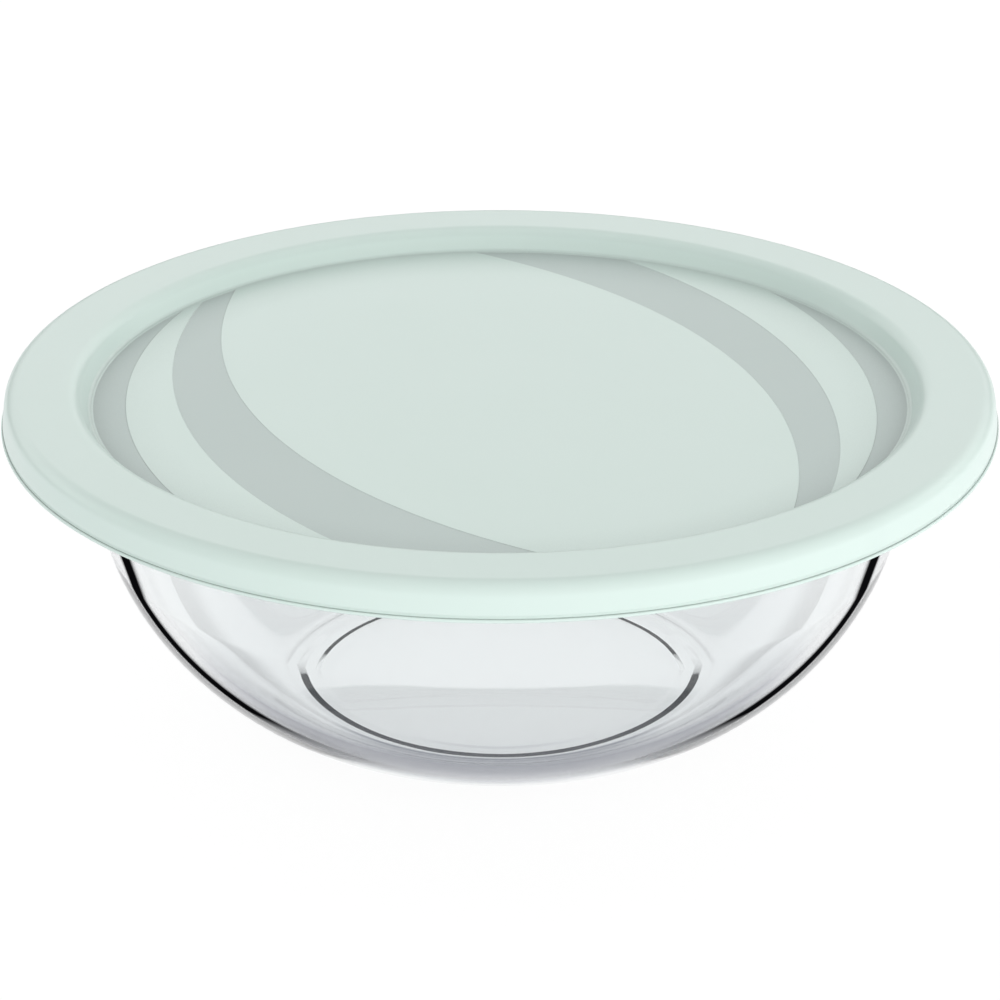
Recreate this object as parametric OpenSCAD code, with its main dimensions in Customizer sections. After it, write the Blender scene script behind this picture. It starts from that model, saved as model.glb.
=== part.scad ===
// A round pressed-glass storage bowl with a press-on moulded lid.
// Millimetres, +Z up. The origin is the middle of the foot, on the surface that the bowl stands on.
// Both pieces are turned shapes: each is one outline of radius and height, spun about Z.

/* [Bowl] */
// Height of the glass, from the foot to the top of the rim
bowl_h = 91; // [75:1:130]
// Inside diameter of the mouth, where the straight wall would meet the rim's top
mouth_d = 232; // [190:1:300]
// Diameter of the foot, where the wall starts to rise
foot_d = 120; // [90:1:146]
// Thickness of the wall
wall_t = 4; // [3:0.1:6]
// Thickness of the bottom
bottom_t = 5; // [3.5:0.1:8]
// Lean of the straight upper wall away from upright, in degrees
wall_lean = 17; // [8:1:20]
// Height at which the round lower wall turns into the straight upper wall
curve_h = 50; // [35:1:62]
// How far the round wall keeps to the table before it rises, as a part of its run
low_pull = 0.27; // [0.1:0.01:0.6]
// How far the round wall keeps to the upper wall's line, as a part of its run
high_pull = 0.62; // [0.3:0.01:0.8]
// Width of the ring that the bowl stands on, outside the hollow in its underside
bearing_w = 6; // [3:0.5:12]
// Depth of the hollow in the underside
hollow_depth = 1; // [0.5:0.1:2.5]

/* [Glass rim] */
// Width of the rim, from the mouth to its outer edge
rim_w = 15.5; // [12:0.5:22]
// Thickness of the rim
rim_t = 4; // [3.4:0.1:6]
// Radius that fire polishing leaves on the rim's edges
rim_edge_r = 1.7; // [0.8:0.1:1.7]
// Radius where the inner wall turns out into the rim
mouth_r_round = 4; // [2:0.5:6]
// Radius in the corner under the rim
neck_r_round = 4; // [1:0.5:5]

/* [Lid] */
// Thickness of the moulding
lid_t = 1.6; // [1.2:0.1:2.4]
// Depth of the round recess in the top
recess_depth = 6; // [3:0.5:9]
// Lean of the recess's wall away from upright, in degrees
recess_lean = 27; // [18:1:35]
// Fall of the flat rim from its inner to its outer edge
rim_fall = 0.5; // [0:0.1:0.8]
// Radius of the shoulder between the flat rim and the skirt
shoulder_r = 4; // [2.5:0.1:5]
// Height of the skirt and lip below the underside of the rim
skirt_h = 9; // [7.5:0.5:14]
// How far the skirt spreads from its shoulder down to its groove
skirt_spread = 0.9; // [0.3:0.1:1.5]
// Height of the lip that runs round the bottom of the skirt
lip_h = 1; // [0.8:0.1:2]
// How far the lip stands out from the skirt above it
lip_out = 0.5; // [0.3:0.1:1.5]
// Width of the groove above the lip
groove_w = 0.7; // [0.4:0.1:1]
// Depth of the groove above the lip
groove_depth = 0.4; // [0.2:0.1:0.6]

/* [Fit of the lid] */
// Gap between the skirt and the glass rim
skirt_gap = 0.5; // [0.4:0.1:1.2]
// Gap between the recess's outside wall and the mouth, at the rim's top
plug_gap = 0.5; // [0.4:0.1:1.5]
// Gap left between the sealing bead and the glass
seal_gap = 0.35; // [0.3:0.05:0.8]
// Radius of the sealing bead's nose
seal_r = 0.8; // [0.5:0.1:0.8]
// Gap left between the snap bead and the glass rim
snap_gap = 0.3; // [0.3:0.05:0.4]
// Height of the snap bead inside the skirt
snap_h = 1.2; // [0.8:0.1:1.6]

/* [Relief on the lid] */
// Depth of the sunk bands in the floor of the recess
relief_depth = 0.25; // [0.1:0.05:0.5]
// Distance from the edge of the recess's floor to the side of each lens, largest first
lens_inset = [42.5, 23.5, 9]; // [4:0.5:60]
// Radius of each lens's sides, in radii of the recess's floor
lens_bow = [1.63, 1.63, 1.42]; // [1.1:0.01:3]
// Turn of each lens's short axis from +X, in degrees
lens_turn = [25, 16, 5]; // [0:1:60]

/* [Hidden] */
$fn = 180;

// Straight pieces that stand for one round corner, and for the bowl's long curve
corner_steps = 6;
curve_steps = 18;
// Small corner radii of the moulding
recess_foot_r = 1.2;
recess_edge_r = 1.2;
lip_edge_r = 0.4;
inner_edge_r = 0.3;
hollow_edge_r = 0.8;
// Slope of the step between the bearing ring and the hollow, as run over rise
hollow_slope = 1.5;
// Extra height by which a cut passes a surface
past = 1;

// Bowl
mouth_r = mouth_d / 2;
foot_r = foot_d / 2;
rim_r = mouth_r + rim_w;
hollow_r = foot_r - bearing_w;
wall_across = wall_t / cos(wall_lean);

// Lid: it sits on the rim, its skirt outside the rim and its recess inside the mouth
rim_top_z = bowl_h + lid_t;
floor_z = rim_top_z - recess_depth;
floor_under_z = floor_z - lid_t;
lip_z = bowl_h - skirt_h;
groove_z = lip_z + lip_h;
plug_r = mouth_r - plug_gap;
plug_across = lid_t / cos(recess_lean);
skirt_in_r = rim_r + skirt_gap;
skirt_top_r = skirt_in_r + lid_t;
skirt_low_r = skirt_top_r + skirt_spread;
lip_r = skirt_low_r + lip_out;
lip_in_r = skirt_low_r - lid_t;
snap_top_z = bowl_h - rim_t - snap_gap;
seal_z = floor_under_z + seal_r;
pattern_r = recess_wall_r(floor_z) - recess_foot_r;

// Radius of the inner face of the glass's straight wall at height z
function glass_in_r(z) = mouth_r - (bowl_h - z) * tan(wall_lean);

// Radius of the outer face of the glass's straight wall at height z
function glass_out_r(z) = glass_in_r(z) + wall_across;

// Radius of the outside and of the inside of the recess's wall at height z
function plug_wall_r(z) = plug_r - (bowl_h - z) * tan(recess_lean);
function recess_wall_r(z) = plug_wall_r(z) - plug_across;

// Radius of the inner face of the skirt at height z
function skirt_wall_r(z) = skirt_in_r + (lip_in_r - skirt_in_r) * (bowl_h - z) / skirt_h;

function unit(v) = v / norm(v);

// A corner point, rounded to radius r between its two neighbours
function round_corner(before, corner, after, r) =
    let (
        u = unit(before - corner),
        v = unit(after - corner),
        half = acos(u * v) / 2,
        centre = corner + unit(u + v) * r / sin(half),
        from = corner + u * r / tan(half) - centre,
        to = corner + v * r / tan(half) - centre,
        start = atan2(from.y, from.x),
        turn = (atan2(to.y, to.x) - start + 540) % 360 - 180
    )
    [for (i = [0 : corner_steps])
        let (a = start + turn * i / corner_steps)
        centre + r * [cos(a), sin(a)]];

// An outline from corners of [radius, height, rounding]; a corner with no rounding stays sharp
function outline(corners) =
    let (n = len(corners), p = [for (c = corners) [c[0], c[1]]])
    [for (i = [0 : n - 1])
        each corners[i][2] > 0
            ? round_corner(p[(i + n - 1) % n], p[i], p[(i + 1) % n], corners[i][2])
            : [p[i]]];

// The round lower wall is one Bezier curve from the foot to the straight wall
curve_foot = [foot_r, 0];
curve_top = [glass_out_r(curve_h), curve_h];
curve_meet = [glass_out_r(0), 0];
curve_pull = [
    curve_foot,
    curve_foot + low_pull * (curve_meet - curve_foot),
    curve_top + high_pull * (curve_meet - curve_top),
    curve_top
];

function curve_point(t) =
    pow(1 - t, 3) * curve_pull[0]
    + 3 * pow(1 - t, 2) * t * curve_pull[1]
    + 3 * (1 - t) * pow(t, 2) * curve_pull[2]
    + pow(t, 3) * curve_pull[3];

function curve_direction(t) = unit(
    pow(1 - t, 2) * (curve_pull[1] - curve_pull[0])
    + 2 * (1 - t) * t * (curve_pull[2] - curve_pull[1])
    + pow(t, 2) * (curve_pull[3] - curve_pull[2]));

// The inner face lies the glass's thickness inside the outer one
function glass_t(t) = bottom_t + (wall_t - bottom_t) * t;
function inner_curve_point(t) =
    let (d = curve_direction(t)) curve_point(t) + glass_t(t) * [-d.y, d.x];

function sharp(p) = [p.x, p.y, 0];

glass_corners = concat(
    [
        [0, hollow_depth, 0],
        [hollow_r - hollow_slope * hollow_depth, hollow_depth, hollow_edge_r],
        [hollow_r, 0, hollow_edge_r]
    ],
    [for (i = [0 : curve_steps]) sharp(curve_point(i / curve_steps))],
    [
        [glass_out_r(bowl_h - rim_t), bowl_h - rim_t, neck_r_round],
        [rim_r, bowl_h - rim_t, rim_edge_r],
        [rim_r, bowl_h, rim_edge_r],
        [mouth_r, bowl_h, mouth_r_round]
    ],
    [for (i = [curve_steps : -1 : 0]) sharp(inner_curve_point(i / curve_steps))],
    [[0, bottom_t, 0]]
);

lid_corners = [
    // Top: floor of the recess, its wall, the flat rim, the shoulder
    [0, floor_z, 0],
    [recess_wall_r(floor_z), floor_z, recess_foot_r],
    [recess_wall_r(rim_top_z), rim_top_z, recess_edge_r],
    [skirt_top_r, rim_top_z - rim_fall, shoulder_r],
    // Skirt, groove and lip
    [skirt_low_r, groove_z + groove_w, 0],
    [skirt_low_r - groove_depth, groove_z + groove_w, 0],
    [skirt_low_r - groove_depth, groove_z, 0],
    [lip_r, groove_z, lip_edge_r],
    [lip_r, lip_z, lip_edge_r],
    // Inside of the skirt, with the snap bead just under the glass rim
    [lip_in_r, lip_z, inner_edge_r],
    [skirt_wall_r(snap_top_z - snap_h), snap_top_z - snap_h, 0],
    [rim_r + snap_gap, snap_top_z - snap_h / 2, inner_edge_r],
    [skirt_wall_r(snap_top_z), snap_top_z, 0],
    [skirt_in_r, bowl_h, rim_edge_r + skirt_gap / 2],
    // Seat on the glass rim, outside of the recess's wall, underside of the floor
    [plug_r, bowl_h, recess_edge_r],
    [plug_wall_r(floor_under_z), floor_under_z, recess_foot_r],
    [0, floor_under_z, 0]
];

// The soft bead near the bottom of the plug that closes on the glass's inner wall
module sealing_bead() {
    nose_r = glass_in_r(seal_z) - (seal_gap + seal_r) / cos(wall_lean);
    root_r = min(nose_r, plug_wall_r(seal_z)) - lid_t / 2;
    rotate_extrude() {
        translate([nose_r, seal_z]) circle(r = seal_r);
        translate([root_r, seal_z - seal_r]) square([nose_r - root_r, 2 * seal_r]);
    }
}

// A lens: what two equal circles share, its short axis turned from +X
module lens(i) {
    side_r = lens_bow[i] * pattern_r;
    side_centre = side_r - (pattern_r - lens_inset[i]);
    rotate(lens_turn[i]) intersection() {
        translate([side_centre, 0]) circle(r = side_r);
        translate([-side_centre, 0]) circle(r = side_r);
    }
}

// The sunk bands: between the first two lenses, and outside the third
module sunk_bands() {
    intersection() {
        circle(r = pattern_r);
        difference() {
            lens(1);
            lens(0);
        }
    }
    difference() {
        circle(r = pattern_r);
        lens(2);
    }
}

module glass_bowl() {
    color([0.87, 0.93, 0.95, 0.45])
    rotate_extrude() polygon(outline(glass_corners));
}

module lid() {
    color([0.82, 0.875, 0.855])
    difference() {
        union() {
            rotate_extrude() polygon(outline(lid_corners));
            sealing_bead();
        }
        translate([0, 0, floor_z - relief_depth]) linear_extrude(relief_depth + past) sunk_bands();
    }
}

glass_bowl();
lid();
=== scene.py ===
# %% [markdown]
# # A pressed-glass bowl with a press-on lid
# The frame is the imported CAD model. It says how big each piece is, where it sits and how it moves, and
# it is never changed. What is made here is only how the two pieces look: finer turned meshes that stand
# for the CAD's two solids, their materials, and a plain pale studio round them.

# %% Load the frame
import math

import bpy
import bmesh
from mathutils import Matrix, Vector
from mathutils.geometry import delaunay_2d_cdt


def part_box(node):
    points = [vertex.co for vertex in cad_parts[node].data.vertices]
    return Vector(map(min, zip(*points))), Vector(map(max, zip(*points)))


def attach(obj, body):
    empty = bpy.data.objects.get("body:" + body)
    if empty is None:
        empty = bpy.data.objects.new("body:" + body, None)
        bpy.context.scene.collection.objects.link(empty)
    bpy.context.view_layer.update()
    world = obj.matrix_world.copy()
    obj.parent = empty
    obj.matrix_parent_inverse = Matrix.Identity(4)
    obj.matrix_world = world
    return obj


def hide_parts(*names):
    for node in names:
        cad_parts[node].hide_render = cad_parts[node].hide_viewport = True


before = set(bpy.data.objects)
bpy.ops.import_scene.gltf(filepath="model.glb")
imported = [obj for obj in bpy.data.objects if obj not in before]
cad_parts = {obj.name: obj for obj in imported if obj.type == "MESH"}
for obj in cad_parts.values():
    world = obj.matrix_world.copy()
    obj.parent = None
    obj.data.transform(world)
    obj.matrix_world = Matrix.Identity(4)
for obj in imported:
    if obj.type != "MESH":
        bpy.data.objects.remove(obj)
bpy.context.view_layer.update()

MM = 0.001
glass_low, glass_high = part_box("glass_bowl")
lid_low, lid_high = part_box("lid")
print("glass", [round(v / MM, 2) for v in (*glass_low, *glass_high)])
print("lid", [round(v / MM, 2) for v in (*lid_low, *lid_high)])


# %% [markdown]
# ## Camera
# A long lens from about 1.25 m away, looking down at 24 degrees. It comes first, because the studio's
# lights and the glass are judged through it. It aims at a point on the bowl's axis, a little above half
# the bowl's height, and the lid then fills the view from edge to edge.

# %% Camera
CAMERA_AWAY = 1247 * MM
CAMERA_DOWN = math.radians(23.8)
CAMERA_LENS, CAMERA_SENSOR = 163.7, 36
CAMERA_AIM = Vector((0, 0, 55.65 * MM))

camera_data = bpy.data.cameras.new("camera")
camera_data.lens = CAMERA_LENS
camera_data.sensor_width = CAMERA_SENSOR
camera = bpy.data.objects.new("camera", camera_data)
bpy.context.scene.collection.objects.link(camera)
camera_way = Vector((0, math.cos(CAMERA_DOWN), -math.sin(CAMERA_DOWN)))
camera.location = CAMERA_AIM - camera_way * CAMERA_AWAY
camera.rotation_euler = camera_way.to_track_quat("-Z", "Y").to_euler()
bpy.context.scene.camera = camera
print("camera at", [round(v, 3) for v in camera.location])


# %% [markdown]
# ## Outlines with rounded corners
# Both pieces are round, so each is one outline of radius and height, spun about the axis. An outline is
# written as a draughtsman would dimension it: the corners as if they were sharp, and a rounding for each.
# The rounding's arc is worked out here, with many more steps than the CAD solid needs, because a
# reflection shows every flat.

# %% Outline helpers
ARC_STEP = math.radians(5)


def unit(v):
    return v / v.length


def round_corner(before, corner, after, radius):
    """The arc that rounds a corner between its two neighbours."""
    u, v = unit(before - corner), unit(after - corner)
    half = math.acos(max(-1.0, min(1.0, u.dot(v)))) / 2
    centre = corner + unit(u + v) * radius / math.sin(half)
    start = corner + u * radius / math.tan(half) - centre
    stop = corner + v * radius / math.tan(half) - centre
    a = math.atan2(start.y, start.x)
    turn = (math.atan2(stop.y, stop.x) - a + 3 * math.pi) % (2 * math.pi) - math.pi
    steps = max(2, math.ceil(abs(turn) / ARC_STEP))
    return [centre + radius * Vector((math.cos(a + turn * i / steps), math.sin(a + turn * i / steps)))
            for i in range(steps + 1)]


def outline(corners):
    """Points of an open outline from corners of (radius, height, rounding), in metres."""
    p = [Vector(c[:2]) for c in corners]
    points = []
    for i, (_, _, rounding) in enumerate(corners):
        if rounding > 0:
            points += round_corner(p[i - 1], p[i], p[i + 1], rounding)
        else:
            points.append(p[i])
    return points


square_corner = outline([(0, 0, 0), (1, 0, 0.5), (1, 1, 0)])
print("a rounded square corner takes", len(square_corner) - 2, "points")


# %% [markdown]
# ## Shape of the glass
# The bowl is pressed: a plunger forms the inside, a mould the outside, and a flame rounds the rim. Its
# lower wall is one long curve from the foot to the straight upper wall, a Bezier curve, and the inside
# follows it at the glass's thickness. A subdivided cage would do as well, but the formula keeps the
# thickness true, and glass bends what is seen through it by its thickness.
#
# The bowl stands on a low ring. Just outside the ring the wall starts a step higher, and inside it the
# bottom is a shallow dome with a soft step round its edge, so that the bowl doesn't rock. In clear glass
# such small steps show more than a whole wall does: these draw the dark oval in the bowl's bottom. They
# could be left to a bump map, but only real corners bend the light, so they are in the outline.

# %% Sizes of the glass
bowl_h = glass_high.z
rim_r = round(glass_high.x, 4)
RIM_W = 15.5 * MM
WALL_T = 4 * MM
BOTTOM_T = 5 * MM
WALL_LEAN = math.radians(17)
FOOT_R = 60 * MM
RIM_T = 4 * MM
RIM_EDGE_R = 1.7 * MM
MOUTH_ROUND, NECK_ROUND = 4 * MM, 4 * MM

mouth_r = rim_r - RIM_W
wall_across = WALL_T / math.cos(WALL_LEAN)
print("mouth radius", round(mouth_r / MM, 1), "mm, wall", round(wall_across / MM, 2), "mm across")


def glass_in_r(z):
    return mouth_r - (bowl_h - z) * math.tan(WALL_LEAN)


def glass_out_r(z):
    return glass_in_r(z) + wall_across


# %% Curve of the lower wall
CURVE_H = 50 * MM
LOW_PULL, HIGH_PULL = 0.27, 0.62
FOOT_STEP = 0.87 * MM
FOOT_STEP_FADE = 5  # how soon the outer face comes back to the curve; higher is sooner
curve_foot = Vector((FOOT_R, 0))
curve_top = Vector((glass_out_r(CURVE_H), CURVE_H))
curve_meet = Vector((glass_out_r(0), 0))
pull = [
    curve_foot,
    curve_foot.lerp(curve_meet, LOW_PULL),
    curve_top.lerp(curve_meet, HIGH_PULL),
    curve_top,
]


def curve_point(t):
    s = 1 - t
    return s**3 * pull[0] + 3 * s**2 * t * pull[1] + 3 * s * t**2 * pull[2] + t**3 * pull[3]


def inner_point(t):
    """The inner face lies the glass's thickness inside the outer one."""
    s = 1 - t
    way = unit(s**2 * (pull[1] - pull[0]) + 2 * s * t * (pull[2] - pull[1]) + t**2 * (pull[3] - pull[2]))
    thickness = BOTTOM_T + (WALL_T - BOTTOM_T) * t
    return curve_point(t) + thickness * Vector((-way.y, way.x))


def outer_point(t):
    """The outer face starts a step higher, so that the foot stands out as a ring."""
    s = 1 - t
    return curve_point(t) + Vector((0, FOOT_STEP * s**FOOT_STEP_FADE))


print("curve ends at radius and height", [round(v / MM, 1) for v in curve_top], "mm")


# %% Foot, hollow and outline of the glass
BEARING_R, STEP_R = 54.9 * MM, 57.3 * MM  # where the ring stands, and where the wall starts
FOOT_STEP_R = 0.6 * MM
HOLLOW_R, HOLLOW_DEPTH = 52 * MM, 1 * MM
HOLLOW_STEP, HOLLOW_STEP_W, HOLLOW_EDGE_R = 0.3 * MM, 1.4 * MM, 0.8 * MM
HOLLOW_RINGS, CURVE_STEPS = 28, 72


def hollow_point(share):
    """The hollow is a shallow dome; share runs from 0 on the axis to 1 at the dome's edge."""
    height = HOLLOW_STEP + (HOLLOW_DEPTH - HOLLOW_STEP) * (1 - share**2)
    return share * (HOLLOW_R - HOLLOW_STEP_W), height


steps = [i / CURVE_STEPS for i in range(CURVE_STEPS + 1)]
glass_corners = [
    *[(*hollow_point(i / HOLLOW_RINGS), 0) for i in range(HOLLOW_RINGS)],
    (*hollow_point(1), HOLLOW_EDGE_R),
    (HOLLOW_R, 0, HOLLOW_EDGE_R),
    (BEARING_R, 0, FOOT_STEP_R),
    (STEP_R, FOOT_STEP, FOOT_STEP_R),
    *[(*outer_point(t), 0) for t in steps],
    (glass_out_r(bowl_h - RIM_T), bowl_h - RIM_T, NECK_ROUND),
    (rim_r, bowl_h - RIM_T, RIM_EDGE_R),
    (rim_r, bowl_h, RIM_EDGE_R),
    (mouth_r, bowl_h, MOUTH_ROUND),
    *[(*inner_point(t), 0) for t in reversed(steps)],
    (0, BOTTOM_T, 0),
]
glass_outline = outline(glass_corners)
print("glass outline:", len(glass_outline), "points")


# %% [markdown]
# ## Spinning an outline
# Blender's Screw modifier could spin a curve too. A short loop does it here, because it lets the ends
# on the axis close in one point and puts every vertex where the outline says. A long straight stretch
# gets a ring near each end: smooth shading then keeps flats flat, which matters most in clear glass.

# %% Lathe
SUPPORT = 0.3 * MM
LONG = 2 * MM
SAME_PLACE = 1e-7


def with_supports(points):
    """The outline with a point just inside each end of every long straight stretch."""
    out = [points[0]]
    for a, b in zip(points, points[1:]):
        if (b - a).length > LONG:
            out += [a + unit(b - a) * SUPPORT, b - unit(b - a) * SUPPORT]
        out.append(b)
    return out


def even_angles(count):
    return [2 * math.pi * i / count for i in range(count)]


def spin(shape, points, angles):
    """Adds the outline, spun about Z, to a bmesh. A point on the axis is one vertex. Returns the rings."""
    rings = []
    for p in with_supports(points):
        turned = angles if p.x > SAME_PLACE else [0]
        rings.append([shape.verts.new((p.x * math.cos(a), p.x * math.sin(a), p.y)) for a in turned])
    for low, high in zip(rings, rings[1:]):
        for i in range(len(angles)):
            j = (i + 1) % len(angles)
            corners = [low[i % len(low)], low[j % len(low)], high[j % len(high)], high[i % len(high)]]
            shape.faces.new(list(dict.fromkeys(corners))).smooth = True
    return rings


def piece_from(name, shape):
    """Turns a bmesh into an object, with all faces pointing out."""
    bmesh.ops.recalc_face_normals(shape, faces=shape.faces)
    mesh = bpy.data.meshes.new(name)
    shape.to_mesh(mesh)
    shape.free()
    piece = bpy.data.objects.new(name, mesh)
    bpy.context.scene.collection.objects.link(piece)
    print(name, len(mesh.polygons), "faces")
    return piece


# %% Turn the bowl
BOWL_SEGMENTS = 256
glass_shape = bmesh.new()
spin(glass_shape, glass_outline, even_angles(BOWL_SEGMENTS))
bowl = piece_from("bowl_glass", glass_shape)


# %% [markdown]
# ## Shape of the lid
# The lid is one injection moulding. Its outline starts at the edge of the recess's floor. It goes up the
# recess's wall, over the flat rim and the shoulder, down the skirt to its groove and lip, and back along
# the inside past the two beads that hold and seal it, to the axis. The inside hardly shows, but the
# glass mirrors it, so it is made as fully as the top. The floor is laid afterwards, because its bands
# aren't round about the axis.

# %% Sizes of the lid
lip_z = lid_low.z
LID_T = 1.6 * MM
RECESS_DEPTH = 6 * MM
RECESS_LEAN = math.radians(27)
RECESS_FOOT_R, RECESS_EDGE_R, PLUG_EDGE_R = 1.2 * MM, 4 * MM, 1.2 * MM
RIM_FALL = 0.5 * MM
SHOULDER_R = 4 * MM
SKIRT_SPREAD = 0.9 * MM
LIP_H, LIP_OUT, LIP_EDGE_R = 1 * MM, 0.45 * MM, 0.4 * MM
GROOVE_W, GROOVE_DEPTH = 0.7 * MM, 0.15 * MM
GROOVE_EDGE_R, GROOVE_FOOT_R = 0.15 * MM, 0.1 * MM
SKIRT_GAP, PLUG_GAP = 0.5 * MM, 0.5 * MM
SEAL_GAP, SEAL_R = 0.35 * MM, 0.8 * MM
SEAL_ROUNDNESS = 0.98  # just short of a half round, so that its two roundings don't run into each other
SNAP_GAP, SNAP_H = 0.3 * MM, 1.2 * MM
INNER_EDGE_R = 0.3 * MM
print("lip at", round(lip_z / MM, 2), "mm, plastic", round(LID_T / MM, 2), "mm thick")

# %% Heights and radii of the lid
rim_top_z = bowl_h + LID_T
floor_z = rim_top_z - RECESS_DEPTH
floor_under_z = floor_z - LID_T
groove_z = lip_z + LIP_H
plug_r = mouth_r - PLUG_GAP
plug_across = LID_T / math.cos(RECESS_LEAN)
skirt_in_r = rim_r + SKIRT_GAP
skirt_top_r = skirt_in_r + LID_T
skirt_low_r = skirt_top_r + SKIRT_SPREAD
lip_r = skirt_low_r + LIP_OUT
lip_in_r = skirt_low_r - LID_T
snap_top_z = bowl_h - RIM_T - SNAP_GAP
seal_z = floor_under_z + SEAL_R
print("lid rim at", round(rim_top_z / MM, 2), "mm, recess floor at", round(floor_z / MM, 2), "mm")


def plug_wall_r(z):
    return plug_r - (bowl_h - z) * math.tan(RECESS_LEAN)


def recess_wall_r(z):
    return plug_wall_r(z) - plug_across


def skirt_wall_r(z):
    return skirt_in_r + (lip_in_r - skirt_in_r) * (bowl_h - z) / (bowl_h - lip_z)


# %% Outline of the lid
seal_nose = glass_in_r(seal_z) - (SEAL_GAP + SEAL_R) / math.cos(WALL_LEAN) + SEAL_R
pattern_r = recess_wall_r(floor_z) - RECESS_FOOT_R
lid_corners = [
    (pattern_r, floor_z, 0),
    (recess_wall_r(floor_z), floor_z, RECESS_FOOT_R),
    (recess_wall_r(rim_top_z), rim_top_z, RECESS_EDGE_R),
    (skirt_top_r, rim_top_z - RIM_FALL, SHOULDER_R),
    (skirt_low_r, groove_z + GROOVE_W, GROOVE_EDGE_R),
    (skirt_low_r - GROOVE_DEPTH, groove_z + GROOVE_W, GROOVE_FOOT_R),
    (skirt_low_r - GROOVE_DEPTH, groove_z, GROOVE_FOOT_R),
    (lip_r, groove_z, LIP_EDGE_R),
    (lip_r, lip_z, LIP_EDGE_R),
    (lip_in_r, lip_z, INNER_EDGE_R),
    (skirt_wall_r(snap_top_z - SNAP_H), snap_top_z - SNAP_H, 0),
    (rim_r + SNAP_GAP, snap_top_z - SNAP_H / 2, INNER_EDGE_R),
    (skirt_wall_r(snap_top_z), snap_top_z, 0),
    (skirt_in_r, bowl_h, RIM_EDGE_R + SKIRT_GAP / 2),
    (plug_r, bowl_h, PLUG_EDGE_R),
    (plug_wall_r(seal_z + SEAL_R), seal_z + SEAL_R, 0),
    (seal_nose, seal_z + SEAL_R, SEAL_R * SEAL_ROUNDNESS),
    (seal_nose, floor_under_z, SEAL_R * SEAL_ROUNDNESS),
    (0, floor_under_z, 0),
]
lid_outline = outline(lid_corners)
print("lid outline:", len(lid_outline), "points, lip radius", round(lip_r / MM, 2), "mm")


# %% [markdown]
# ## Bands in the floor of the recess
# The mould has sunk bands: two between a narrow and a wider lens, and two outside the widest one. A lens
# is what two equal circles share. Each lens is turned a little further than the next wider one, and
# the two narrower ones lie a little behind the lid's centre. The floor is laid out flat with the
# circles' arcs as edges, which a constrained Delaunay triangulation does exactly, and then the bands
# are inset and pressed down. A displacement map could do it, but its edges would be ragged.

# %% Arcs of the lenses, from the narrowest to the widest
LENS_INSET = [42.5 * MM, 23.5 * MM, 9 * MM]  # from the floor's edge to the lens, where it is widest
LENS_BOW = [1.63, 1.63, 1.42]  # radius of its circles, as a multiple of the floor's
LENS_TURN = [math.radians(a) for a in (25, 16, 5)]
LENS_BACK = [4.3 * MM, 1.5 * MM, 0]  # how far behind the lid's centre it lies
ARC_SPACING = 2 * MM


def lens_circle(i, side):
    """Centre and radius of one of the two circles that make lens i; side is 1 or -1."""
    radius = LENS_BOW[i] * pattern_r
    away = side * (radius - (pattern_r - LENS_INSET[i]))
    turn = LENS_TURN[i]
    return Vector((math.cos(turn) * away, math.sin(turn) * away + LENS_BACK[i])), radius


def lens_arc(i, side):
    """Points along the side of lens i, from edge to edge of the floor."""
    centre, radius = lens_circle(i, side)
    away = centre.length
    spread = math.acos((away**2 + radius**2 - pattern_r**2) / (2 * away * radius))
    middle = math.atan2(-centre.y, -centre.x)
    count = math.ceil(2 * spread * radius / ARC_SPACING)
    return [centre + radius * Vector((math.cos(a), math.sin(a)))
            for a in (middle - spread + 2 * spread * k / count for k in range(count + 1))]


def in_lens(i, point):
    circles = lens_circle(i, 1), lens_circle(i, -1)
    return all((point - centre).length < radius for centre, radius in circles)


def in_band(point):
    return not in_lens(2, point) or (in_lens(1, point) and not in_lens(0, point))


LID_SEGMENTS = 360
arcs = [lens_arc(i, side) for i in range(3) for side in (1, -1)]
arc_ends = [math.atan2(arc[k].y, arc[k].x) % (2 * math.pi) for arc in arcs for k in (0, -1)]
lid_angles = sorted(even_angles(LID_SEGMENTS) + arc_ends)
print("arcs:", [len(arc) for arc in arcs])

# %% Turn the lid and lay its floor
lid_shape = bmesh.new()
floor_ring = spin(lid_shape, lid_outline, lid_angles)[0]

flat = [Vector(v.co[:2]) for v in floor_ring]
edges = [(i, (i + 1) % len(flat)) for i in range(len(flat))]
for arc in arcs:
    ends = [min(range(len(floor_ring)), key=lambda i: (flat[i] - arc[k]).length)
            for k in (0, -1)]
    first = len(flat)
    flat += arc[1:-1]
    chain = [ends[0], *range(first, len(flat)), ends[1]]
    edges += list(zip(chain, chain[1:]))
laid = delaunay_2d_cdt(flat, edges, [], 1, SAME_PLACE)
floor_verts = []
for place, source in zip(laid[0], laid[3]):
    on_ring = [i for i in source if i < len(floor_ring)]
    floor_verts.append(floor_ring[on_ring[0]] if on_ring else lid_shape.verts.new((*place, floor_z)))
band_faces = []
for triangle in laid[2]:
    face = lid_shape.faces.new([floor_verts[i] for i in triangle])
    if in_band(Vector(face.calc_center_median()[:2])):
        band_faces.append(face)
print("floor:", len(laid[2]), "triangles,", len(band_faces), "in the bands")

# %% Press the bands down
RELIEF_DEPTH, RELIEF_RAMP = 0.1 * MM, 0.2 * MM
BAND_SLOT = 1
for face in band_faces:
    if face.normal.z < 0:
        face.normal_flip()
bmesh.ops.recalc_face_normals(lid_shape, faces=lid_shape.faces)
ramps = bmesh.ops.inset_region(
    lid_shape, faces=band_faces, thickness=RELIEF_RAMP, depth=-RELIEF_DEPTH,
    use_even_offset=True, use_boundary=True)["faces"]
for face in [*band_faces, *ramps]:
    face.material_index = BAND_SLOT
lid = piece_from("lid_shell", lid_shape)


# %% [markdown]
# ## Nodes for materials
# Each finish starts from what the real surface is made of and how it was made. One helper adds a node
# with its settings and links, and one turns a screen colour into the linear light that shaders use.

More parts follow.
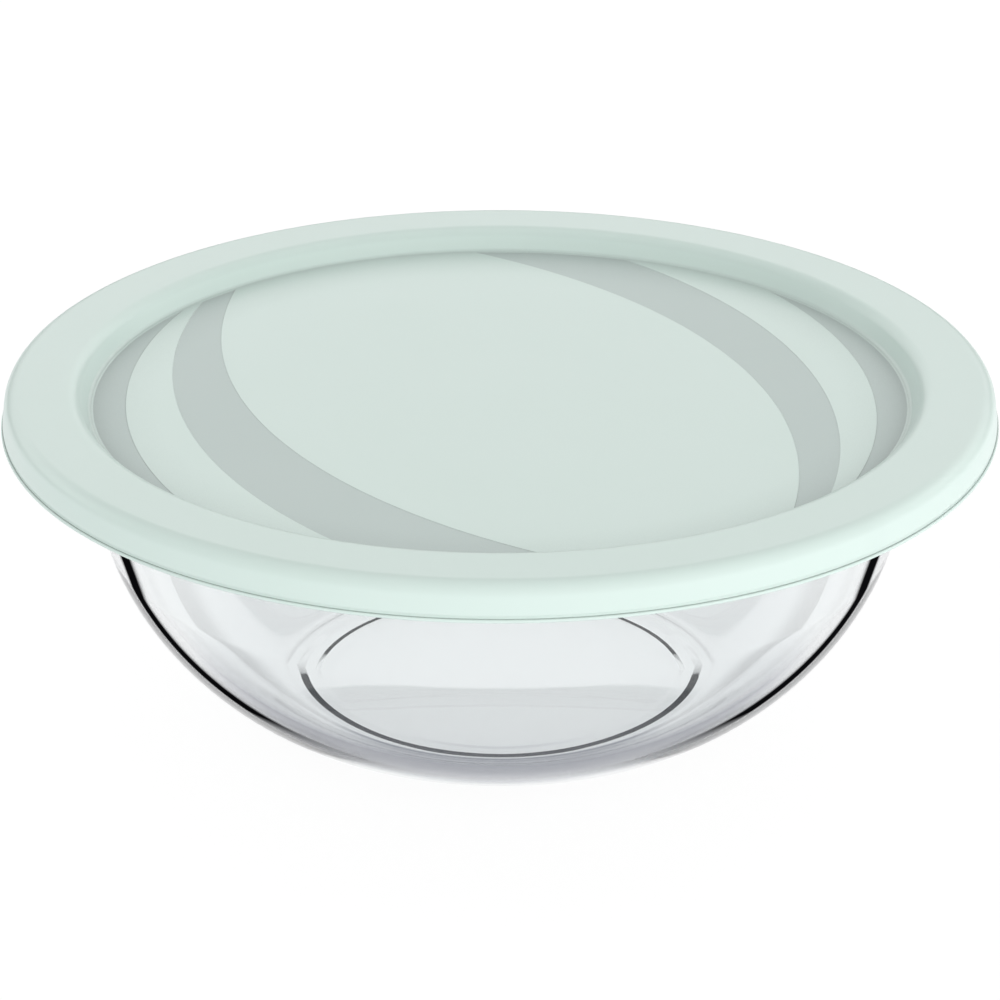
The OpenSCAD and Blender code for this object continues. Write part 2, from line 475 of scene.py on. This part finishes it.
# %% Material helpers
SMOOTH = {"interpolation_type": "SMOOTHSTEP"}
TIMES = {"operation": "MULTIPLY"}
PLUS = {"operation": "ADD"}
ABOVE = {"operation": "GREATER_THAN"}
OF_COLOURS = {"data_type": "RGBA"}
WHITE = (1, 1, 1, 1)


def linear(hex_colour):
    """sRGB hex to linear RGBA."""
    parts = [int(hex_colour[i:i + 2], 16) / 255 for i in (1, 3, 5)]
    return (*[c / 12.92 if c <= 0.04045 else ((c + 0.055) / 1.055)**2.4 for c in parts], 1)


def add(tree, kind, settings=None, **inputs):
    """Adds a node. settings are its own properties; inputs are values, or other nodes' outputs to link."""
    node = tree.nodes.new(kind)
    for key, value in (settings or {}).items():
        setattr(node, key, value)
    for key, value in inputs.items():
        numbered = key[0] == "i" and key[1:].isdigit()
        socket = node.inputs[int(key[1:]) if numbered else key.replace("_", " ")]
        if isinstance(value, bpy.types.NodeSocket):
            tree.links.new(value, socket)
        else:
            socket.default_value = value
    return node


def new_material(name):
    material = bpy.data.materials.new(name)
    material.use_nodes = True
    material.node_tree.nodes.clear()
    return material, material.node_tree


print("mid grey is", [round(v, 3) for v in linear("#808080")[:3]], "in linear light")


# %% [markdown]
# ## Pressed soda-lime glass
# Clear, with the faint sea colour that shows only along its edges. Fire polishing leaves it almost
# perfectly smooth, but the mould leaves a slow ripple, which is what makes pressed glass look pressed:
# reflections and the lines seen through it waver a little. The ripple's height is set in real
# micrometres, because glass shows a slope of a tenth of a degree.

# %% Glass: its ripple
RIPPLE, RIPPLE_HEIGHT = 26 * MM, 0.02 * MM
glass, tree = new_material("pressed_soda_lime_glass")
where = add(tree, "ShaderNodeTexCoord")
ripple = add(tree, "ShaderNodeTexNoise", Vector=where.outputs["Object"], Scale=1 / RIPPLE, Detail=1.0)
bump = add(tree, "ShaderNodeBump", Height=ripple.outputs[0], Strength=1.0, Distance=RIPPLE_HEIGHT)
print("ripple: one wave in", round(RIPPLE / MM), "mm")


# %% [markdown]
# On a light table each side of such a bowl shows one black line, where the eye looks along the inside
# of the wall and the glass bends the dark part of the room into view. How black it gets depends on
# flags beside the table. They could be modelled and lit, but every flag would also darken the lid, so
# the line is a painted reflection of the dark room here, painted into the glass: Layer Weight finds the
# narrow band where the wall is seen almost edge on, and in it the surface is painted black and swallows
# the light instead of letting it through. The line fades out near the foot, where the wall turns flat.
# Only what the eye sees directly gets it, so that the far side of the bowl stays clear when seen through.

# %% Glass: the painted dark line along its sides
PAINTED_LINE_FACING = 0.735, 0.77, 0.82, 0.85  # Facing where the line starts, is full, and ends again
EDGE_RISE = 8 * MM, 24 * MM
facing = add(tree, "ShaderNodeLayerWeight", Blend=0.5)
place = add(tree, "ShaderNodeSeparateXYZ", Vector=where.outputs["Object"])
edge_in = add(tree, "ShaderNodeMapRange", SMOOTH, Value=facing.outputs["Facing"],
              i1=PAINTED_LINE_FACING[0], i2=PAINTED_LINE_FACING[1], i3=0.0, i4=1.0)
edge_out = add(tree, "ShaderNodeMapRange", SMOOTH, Value=facing.outputs["Facing"],
               i1=PAINTED_LINE_FACING[2], i2=PAINTED_LINE_FACING[3], i3=1.0, i4=0.0)
edge_up = add(tree, "ShaderNodeMapRange", SMOOTH, Value=place.outputs["Z"],
              i1=EDGE_RISE[0], i2=EDGE_RISE[1], i3=0.0, i4=1.0)
path = add(tree, "ShaderNodeLightPath")
# Mask of the painted dark line: where the wall is seen edge on, high enough up, and only for what the eye
# sees directly
edge = add(tree, "ShaderNodeMath", TIMES, i0=edge_in.outputs[0], i1=edge_out.outputs[0])
edge = add(tree, "ShaderNodeMath", TIMES, i0=edge.outputs[0], i1=edge_up.outputs[0])
edge = add(tree, "ShaderNodeMath", TIMES, i0=edge.outputs[0], i1=path.outputs["Is Camera Ray"])
print("edge line: full from", PAINTED_LINE_FACING[1], "to", PAINTED_LINE_FACING[2], "of Facing")

# %% Glass: its surface
# The second colour is a painted black, standing in for the dark room that the wall would bend into view
GLASS_CLEAR, GLASS_PAINTED_BLACK = "#f8fafa", "#0c0c0e"
GLASS_IOR = 1.52
PLAIN_GLOSS = 0.5
clear = add(tree, "ShaderNodeMix", OF_COLOURS, Factor=edge.outputs[0],
            i6=linear(GLASS_CLEAR), i7=linear(GLASS_PAINTED_BLACK))
mirror = add(tree, "ShaderNodeMapRange", Value=edge.outputs[0], i1=0.0, i2=1.0, i3=PLAIN_GLOSS, i4=0.0)
through = add(tree, "ShaderNodeMath", {"operation": "SUBTRACT"}, i0=1.0, i1=edge.outputs[0])
surface = add(tree, "ShaderNodeBsdfPrincipled", Base_Color=clear.outputs[2], Roughness=0.0, IOR=GLASS_IOR,
              Transmission_Weight=through.outputs[0], Specular_IOR_Level=mirror.outputs[0],
              Normal=bump.outputs[0])
add(tree, "ShaderNodeOutputMaterial", Surface=surface.outputs[0])
bowl.data.materials.append(glass)
print(glass.name, len(tree.nodes), "nodes")


# %% [markdown]
# ## Moulded polyethylene
# The lid is soft polyethylene from a spark-eroded mould. The mould's fine pits leave a satin grain, the
# plastic shrinks a little unevenly as it cools, which leaves long shallow waves, and the milky plastic
# lets light soak a millimetre or two in. The bands come from a coarser part of the mould: they are a
# shade darker and duller. One recipe makes both, with its own colour, grain and gloss.
#
# The real grain is about a quarter of a millimetre, too fine to show here, so it is drawn at half a
# millimetre. In the crease where the recess's wall meets its floor, the eye sees a soft dark line. The
# studio gives some of it, and an ambient-occlusion shade on the colour of faces that look up gives the
# rest. The shade reaches 20 mm, about three times the recess's depth.

# %% Lid plastic
GRAIN = 0.5 * MM
SHRINK, SHRINK_DEPTH = 30 * MM, 0.05 * MM
CLOUD = 45 * MM
CREVICE, CREVICE_SHADE = 20 * MM, 1.3
LEVEL_FROM = 0.4  # how much a face looks up before the crevice shade starts
GLOSS_SPREAD = 0.02
SOAK, SOAK_DEPTH, SOAK_TINT = 0.12, 1.5 * MM, (1.0, 1.1, 1.05)
PLASTIC_IOR = 1.5


def moulded_polyethylene(name, colour, cloud_colour, roughness, grain_height):
    material, tree = new_material(name)
    where = add(tree, "ShaderNodeTexCoord").outputs["Object"]
    cloud = add(tree, "ShaderNodeTexNoise", Vector=where, Scale=1 / CLOUD, Detail=3.0)
    tint = add(tree, "ShaderNodeMix", OF_COLOURS, Factor=cloud.outputs[0],
               i6=linear(colour), i7=linear(cloud_colour))
    shrink = add(tree, "ShaderNodeTexNoise", Vector=where, Scale=1 / SHRINK, Detail=1.0)
    waves = add(tree, "ShaderNodeBump", Height=shrink.outputs[0], Strength=1.0, Distance=SHRINK_DEPTH)
    grain = add(tree, "ShaderNodeTexNoise", Vector=where, Scale=1 / GRAIN, Detail=2.0)
    pits = add(tree, "ShaderNodeBump", Height=grain.outputs[0], Strength=1.0, Distance=grain_height,
               Normal=waves.outputs[0])
    gloss = add(tree, "ShaderNodeMapRange", Value=grain.outputs[0],
                i3=roughness - GLOSS_SPREAD, i4=roughness + GLOSS_SPREAD)
    open_air = add(tree, "ShaderNodeAmbientOcclusion", {"samples": 8}, Distance=CREVICE)
    shape = add(tree, "ShaderNodeNewGeometry")
    tilt = add(tree, "ShaderNodeSeparateXYZ", Vector=shape.outputs["Normal"])
    level = add(tree, "ShaderNodeMapRange", Value=tilt.outputs["Z"],
                i1=LEVEL_FROM, i2=1.0, i3=0.0, i4=CREVICE_SHADE)
    shade = add(tree, "ShaderNodeMath", {"operation": "POWER"},
                i0=open_air.outputs["AO"], i1=level.outputs[0])
    shaded = add(tree, "ShaderNodeMix", {**OF_COLOURS, "blend_type": "MULTIPLY"}, Factor=1.0,
                 i6=tint.outputs[2], i7=shade.outputs[0])
    surface = add(tree, "ShaderNodeBsdfPrincipled", Base_Color=shaded.outputs[2],
                  Roughness=gloss.outputs[0], IOR=PLASTIC_IOR, Subsurface_Weight=SOAK,
                  Subsurface_Radius=SOAK_TINT, Subsurface_Scale=SOAK_DEPTH, Normal=pits.outputs[0])
    add(tree, "ShaderNodeOutputMaterial", Surface=surface.outputs[0])
    print(name, len(tree.nodes), "nodes")
    return material


lid.data.materials.append(moulded_polyethylene(
    "moulded_polyethylene_satin", "#d9e9e3", "#d6e7e0", roughness=0.3, grain_height=0.002 * MM))
lid.data.materials.append(moulded_polyethylene(
    "moulded_polyethylene_spark_eroded", "#c8d5d1", "#c5d3cf", roughness=0.42, grain_height=0.003 * MM))


# %% [markdown]
# ## A light table
# Clear glass has no colour of its own, so it is seen only by what it bends into view. The bowl stands on
# a white table that gives its own light, a pale wall is behind it, and the front of the room is dark. The
# middle of the bowl then shows the bright table, and its edges bend the dark into thin black lines:
# bright-field lighting, as glass is usually shown.
#
# What the lid's plastic receives is set apart from what the glass shows, as lamps with flags on them
# would do: Light Path's Diffuse Depth tells them apart. The table lights the lid less from under the
# bowl, where in a real studio its shadow falls, and more from the right, where the softbox stands.

# %% Studio floor
FLOOR_SIZE = 8
FLOOR_DROP = 0.2 * MM
floor_mesh = bpy.data.meshes.new("studio_floor")
h = FLOOR_SIZE / 2
floor_mesh.from_pydata([(-h, -h, 0), (h, -h, 0), (h, h, 0), (-h, h, 0)], [], [(0, 1, 2, 3)])
floor = bpy.data.objects.new("studio_floor", floor_mesh)
floor.location.z = -FLOOR_DROP
bpy.context.scene.collection.objects.link(floor)
print("floor", FLOOR_SIZE, "m across")

# %% Light table: what the plastic receives from it
FLOOR_LAMP_LEFT, FLOOR_LAMP_RIGHT = 0.8, 1.3
FLOOR_LAMP_REACH = 300 * MM
SHADE_R, LIT_R = 110 * MM, 240 * MM
SHADE_LIGHT = 0.3
table, tree = new_material("white_light_table")
where = add(tree, "ShaderNodeTexCoord")
away = add(tree, "ShaderNodeVectorMath", {"operation": "LENGTH"}, i0=where.outputs["Object"])
lamp = add(tree, "ShaderNodeMapRange", SMOOTH, Value=away.outputs["Value"],
           i1=SHADE_R, i2=LIT_R, i3=SHADE_LIGHT, i4=1.0)
place = add(tree, "ShaderNodeSeparateXYZ", Vector=where.outputs["Object"])
across = add(tree, "ShaderNodeMapRange", Value=place.outputs["X"],
             i1=-FLOOR_LAMP_REACH, i2=FLOOR_LAMP_REACH, i3=FLOOR_LAMP_LEFT, i4=FLOOR_LAMP_RIGHT)
lamp = add(tree, "ShaderNodeMath", TIMES, i0=lamp.outputs[0], i1=across.outputs[0])
path = add(tree, "ShaderNodeLightPath")
lit = add(tree, "ShaderNodeMath", ABOVE, i0=path.outputs["Diffuse Depth"], i1=0.5)
print("light on the plastic: from", SHADE_LIGHT, "under the bowl to 1 beyond", round(LIT_R / MM), "mm")


# %% [markdown]
# Through the bowl's bottom the eye looks at the table steeply. Layer Weight makes the table dimmer and
# cooler that way, most of all under the foot: painted shade for the shadow that the bowl and lid cast on
# the table, darkest as a painted contact shadow under the foot ring. That is what turns the low edge of
# the glass grey, where a table that is equally bright every way would leave the clear glass white on
# white.

# %% Light table: what the glass shows of it
FLOOR_SEEN, FLOOR_THROUGH = 0.95, 0.945
STEEP_BRIGHT, STEEP_DARK = math.radians(40), math.radians(52)
PAINTED_SHADOW_UNDER, PAINTED_SHADOW_BESIDE = 0.34, 0.48
UNDER_R, BESIDE_R = 57 * MM, 64 * MM
PAINTED_SHADE_HUE = "#d2d6ea"
TABLE_GREY, TABLE_ROUGHNESS = "#505050", 0.9
# Painted shade: seen steeply the table is dimmed, darkest under the foot, as the bowl's shadow would be
facing = add(tree, "ShaderNodeLayerWeight", Blend=0.5)
foot_shadow = add(tree, "ShaderNodeMapRange", SMOOTH, Value=away.outputs["Value"],
            i1=UNDER_R, i2=BESIDE_R, i3=PAINTED_SHADOW_UNDER, i4=PAINTED_SHADOW_BESIDE)
steep_shade = add(tree, "ShaderNodeMapRange", SMOOTH, Value=facing.outputs["Facing"],
            i1=1 - math.sin(STEEP_DARK), i2=1 - math.sin(STEEP_BRIGHT),
            i3=foot_shadow.outputs[0], i4=FLOOR_THROUGH)
sight = add(tree, "ShaderNodeMix", Factor=path.outputs["Is Camera Ray"],
            i2=steep_shade.outputs[0], i3=FLOOR_SEEN)
glow = add(tree, "ShaderNodeMix", Factor=lit.outputs[0], i2=sight.outputs[0], i3=lamp.outputs[0])
# The painted shade is tinted cool as well
shade_tint = add(tree, "ShaderNodeMix", OF_COLOURS, Factor=steep_shade.outputs[0], i6=linear(PAINTED_SHADE_HUE), i7=WHITE)
hue = add(tree, "ShaderNodeMix", OF_COLOURS, Factor=path.outputs["Is Camera Ray"],
          i6=shade_tint.outputs[2], i7=WHITE)
surface = add(tree, "ShaderNodeBsdfPrincipled",
              Base_Color=linear(TABLE_GREY), Roughness=TABLE_ROUGHNESS,
              Emission_Color=hue.outputs[2], Emission_Strength=glow.outputs[0])
add(tree, "ShaderNodeOutputMaterial", Surface=surface.outputs[0])
floor_mesh.materials.append(table)
print(table.name, len(tree.nodes), "nodes")


# %% [markdown]
# ## The room
# The room has two sides too. The plastic is lit by a ceiling that is brighter at the back, by low strips
# left and right, and by a low softbox in front on the right, which rounds the skirt. The glass and the
# gloss show a pale wall behind and darkness everywhere else. Lamps could be placed one by one, but a
# world made from the direction of view gives the same soft light and no stray lamp shapes in the glass.

# %% World
WORLD_SEEN = 0.95
scene = bpy.context.scene
scene.view_settings.view_transform = "Standard"
world = bpy.data.worlds.new("studio")
scene.world = world
world.use_nodes = True
tree = world.node_tree
tree.nodes.clear()
where = add(tree, "ShaderNodeTexCoord").outputs["Generated"]
way = add(tree, "ShaderNodeSeparateXYZ", Vector=where)
print("world:", world.name)

# %% Room: what lights the plastic
SKY_BACK, SKY_FRONT = 0.88, 0.48
SKY_SIDES, SKY_SIDES_HIGH = 0.5, 0.6
SOFTBOX_LIGHT, SOFTBOX_EDGE = 1.5, 0.5
SOFTBOX_WAY = Vector((0.4, -0.9, 0.05))
side = add(tree, "ShaderNodeMath", TIMES, i0=way.outputs["X"], i1=way.outputs["X"])
strips = add(tree, "ShaderNodeMapRange", SMOOTH, Value=way.outputs["Z"],
             i1=0.0, i2=SKY_SIDES_HIGH, i3=SKY_SIDES, i4=0.0)
strips = add(tree, "ShaderNodeMath", TIMES, i0=side.outputs[0], i1=strips.outputs[0])
ceiling = add(tree, "ShaderNodeMapRange", Value=way.outputs["Y"],
              i1=-1.0, i2=1.0, i3=SKY_FRONT, i4=SKY_BACK)
facing = add(tree, "ShaderNodeVectorMath", {"operation": "DOT_PRODUCT"}, i0=where, i1=unit(SOFTBOX_WAY))
softbox = add(tree, "ShaderNodeMapRange", SMOOTH, Value=facing.outputs["Value"],
              i1=SOFTBOX_EDGE, i2=1.0, i3=0.0, i4=SOFTBOX_LIGHT)
lamps = add(tree, "ShaderNodeMath", PLUS, i0=strips.outputs[0], i1=softbox.outputs[0])
lamps = add(tree, "ShaderNodeMath", PLUS, i0=lamps.outputs[0], i1=ceiling.outputs[0])
print("softbox points from", [round(v, 2) for v in unit(SOFTBOX_WAY)])

# %% Room: what the glass and the gloss show
WALL_LOW, WALL_HIGH = 0.08, 0.25
WALL_FRONT, WALL_BACK = 0.0, 0.5
WALL_TOP_LOW, WALL_TOP_HIGH = 0.46, 0.7
WALL_LIGHT = 1.42
WALL_THROUGH = 0.88  # the share of it that is left once light has come through the glass
wall_rise = add(tree, "ShaderNodeMapRange", SMOOTH, Value=way.outputs["Z"],
                i1=WALL_LOW, i2=WALL_HIGH, i3=0.0, i4=WALL_LIGHT)
wall_back = add(tree, "ShaderNodeMapRange", SMOOTH, Value=way.outputs["Y"],
                i1=WALL_FRONT, i2=WALL_BACK, i3=0.0, i4=1.0)
wall_top = add(tree, "ShaderNodeMapRange", SMOOTH, Value=way.outputs["Z"],
               i1=WALL_TOP_LOW, i2=WALL_TOP_HIGH, i3=1.0, i4=0.0)
wall = add(tree, "ShaderNodeMath", TIMES, i0=wall_rise.outputs[0], i1=wall_back.outputs[0])
wall = add(tree, "ShaderNodeMath", TIMES, i0=wall.outputs[0], i1=wall_top.outputs[0])
path = add(tree, "ShaderNodeLightPath")
dim = add(tree, "ShaderNodeMapRange", Value=path.outputs["Transmission Depth"], i3=1.0, i4=WALL_THROUGH)
wall = add(tree, "ShaderNodeMath", TIMES, i0=wall.outputs[0], i1=dim.outputs[0])
print("wall: rises to", WALL_LIGHT, "and fades out overhead")

# %% Room: both together
lit = add(tree, "ShaderNodeMath", ABOVE, i0=path.outputs["Diffuse Depth"], i1=0.5)
glow = add(tree, "ShaderNodeMix", Factor=lit.outputs[0], i2=wall.outputs[0], i3=lamps.outputs[0])
pale = add(tree, "ShaderNodeMix", Factor=path.outputs["Is Camera Ray"],
           i2=glow.outputs[0], i3=WORLD_SEEN)
back = add(tree, "ShaderNodeBackground", Color=WHITE, Strength=pale.outputs[0])
add(tree, "ShaderNodeOutputWorld", Surface=back.outputs[0])
print("world:", len(tree.nodes), "nodes")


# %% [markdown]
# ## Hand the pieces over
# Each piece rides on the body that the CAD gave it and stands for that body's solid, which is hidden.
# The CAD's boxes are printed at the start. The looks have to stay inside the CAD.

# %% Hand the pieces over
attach(bowl, "bowl")
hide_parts("glass_bowl")
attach(lid, "lid")
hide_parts("lid")
